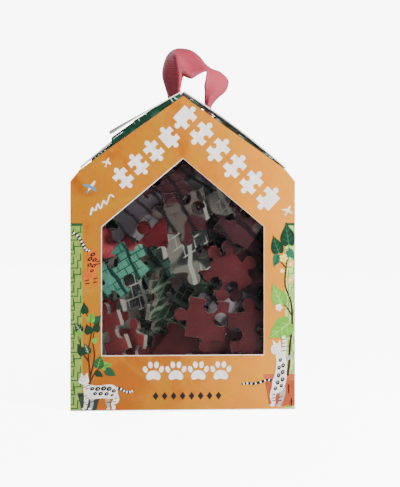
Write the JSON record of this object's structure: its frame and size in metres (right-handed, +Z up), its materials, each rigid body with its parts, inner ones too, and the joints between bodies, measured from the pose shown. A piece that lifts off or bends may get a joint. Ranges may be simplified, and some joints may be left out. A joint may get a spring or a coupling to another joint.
{
  "type": "boxed jigsaw puzzle",
  "caption": "House-shaped folding carton with a clear gable window, opening roof lid, tuck bottom and ribbon carrying loop, filled with loose jigsaw pieces",
  "frame": {"origin": "middle of the carton's underside, on the surface that it stands on", "axes": "+Z up, -Y out of the window, +X to the right seen from the front"},
  "size_m": [0.1, 0.036, 0.1636],
  "materials": {
    "front_print": "glossy coated print",
    "back_print": "glossy coated print",
    "side_print": "glossy coated print",
    "roof_print": "glossy coated print",
    "foliage_print": "glossy coated print",
    "bare_board": "uncoated white inside of the board",
    "window_film": "clear film",
    "ribbon": "ribbed grosgrain ribbon",
    "piece_print": "printed face, matt varnish",
    "piece_back": "plain crimson back"
  },
  "bodies": {
    "carton": {"front_panel": "front_print", "back_panel": "back_print", "left_wall": "side_print", "right_wall": "side_print", "glue_flap": "bare_board", "left_roof_panel": "roof_print", "front_left_dust_flap": "foliage_print", "back_left_dust_flap": "foliage_print", "window_film": "window_film", "jigsaw_piece_01": "piece_back", "jigsaw_piece_02": "piece_print", "jigsaw_piece_03": "piece_back", "jigsaw_piece_04": "piece_print", "jigsaw_piece_05": "piece_back", "jigsaw_piece_06": "piece_print", "jigsaw_piece_07": "piece_back", "jigsaw_piece_08": "piece_print", "jigsaw_piece_09": "piece_back", "jigsaw_piece_10": "piece_print", "jigsaw_piece_11": "piece_back", "jigsaw_piece_12": "piece_print", "jigsaw_piece_13": "piece_back", "jigsaw_piece_14": "piece_print", "jigsaw_piece_15": "piece_back", "jigsaw_piece_16": "piece_print", "jigsaw_piece_17": "piece_back", "jigsaw_piece_18": "piece_print", "jigsaw_piece_19": "piece_back", "jigsaw_piece_20": "piece_print", "jigsaw_piece_21": "piece_back", "jigsaw_piece_22": "piece_print", "jigsaw_piece_23": "piece_back", "jigsaw_piece_24": "piece_print", "jigsaw_piece_25": "piece_back", "jigsaw_piece_26": "piece_print", "jigsaw_piece_27": "piece_back", "jigsaw_piece_28": "piece_print", "jigsaw_piece_29": "piece_back", "jigsaw_piece_30": "piece_print", "jigsaw_piece_31": "piece_back", "jigsaw_piece_32": "piece_print", "jigsaw_piece_33": "piece_back", "jigsaw_piece_34": "piece_print", "jigsaw_piece_35": "piece_back", "jigsaw_piece_36": "piece_print", "jigsaw_piece_37": "piece_back", "jigsaw_piece_38": "piece_print", "jigsaw_piece_39": "piece_back", "jigsaw_piece_40": "piece_print"},
    "lid": {"lid_panel": "roof_print", "ribbon_knot_left": "ribbon", "ribbon_knot_right": "ribbon"},
    "closure": {"closure_flap": "roof_print"},
    "front_dust_flap": {"front_right_dust_flap": "foliage_print"},
    "back_dust_flap": {"back_right_dust_flap": "foliage_print"},
    "ribbon": {"ribbon_loop": "ribbon"},
    "bottom": {"bottom_panel": "side_print", "bottom_tuck_flap": "bare_board"},
    "bottom_left": {"bottom_left_dust_flap": "bare_board"},
    "bottom_right": {"bottom_right_dust_flap": "bare_board"}
  },
  "joints": [
    {"name": "lid_hinge", "type": "hinge", "parent": "carton", "child": "lid", "pos_m": [0.046, 0, 0.1074], "axis": [0, 1, 0], "range_deg": [0, 120]},
    {"name": "closure_hinge", "type": "hinge", "parent": "lid", "child": "closure", "pos_m": [0, 0, 0.1415], "axis": [0, 1, 0], "range_deg": [0, 35]},
    {"name": "ribbon_swing", "type": "hinge", "parent": "lid", "child": "ribbon", "pos_m": [0, 0, 0.138], "axis": [1, 0, 0], "range_deg": [-20, 20], "stiffness_Nm_per_rad": 0.001},
    {"name": "front_dust_hinge", "type": "hinge", "parent": "carton", "child": "front_dust_flap", "pos_m": [0.023, -0.0177, 0.12355], "axis": [0.8134, 0, -0.5818], "range_deg": [0, 48]},
    {"name": "back_dust_hinge", "type": "hinge", "parent": "carton", "child": "back_dust_flap", "pos_m": [0.023, 0.0177, 0.12355], "axis": [-0.8134, 0, 0.5818], "range_deg": [0, 48]},
    {"name": "bottom_hinge", "type": "hinge", "parent": "carton", "child": "bottom", "pos_m": [0, 0.017, 0.00025], "axis": [1, 0, 0], "range_deg": [0, 100]},
    {"name": "bottom_left_hinge", "type": "hinge", "parent": "carton", "child": "bottom_left", "pos_m": [-0.049, 0, 0.001], "axis": [0, 1, 0], "range_deg": [0, 50]},
    {"name": "bottom_right_hinge", "type": "hinge", "parent": "carton", "child": "bottom_right", "pos_m": [0.049, 0, 0.001], "axis": [0, -1, 0], "range_deg": [0, 50]}
  ],
  "couplings": [
    {"joint": "front_dust_hinge", "follows": "lid_hinge", "ratio": 0.4},
    {"joint": "back_dust_hinge", "follows": "lid_hinge", "ratio": 0.4},
    {"joint": "bottom_left_hinge", "follows": "bottom_hinge", "ratio": 0.5},
    {"joint": "bottom_right_hinge", "follows": "bottom_hinge", "ratio": 0.5}
  ]
}
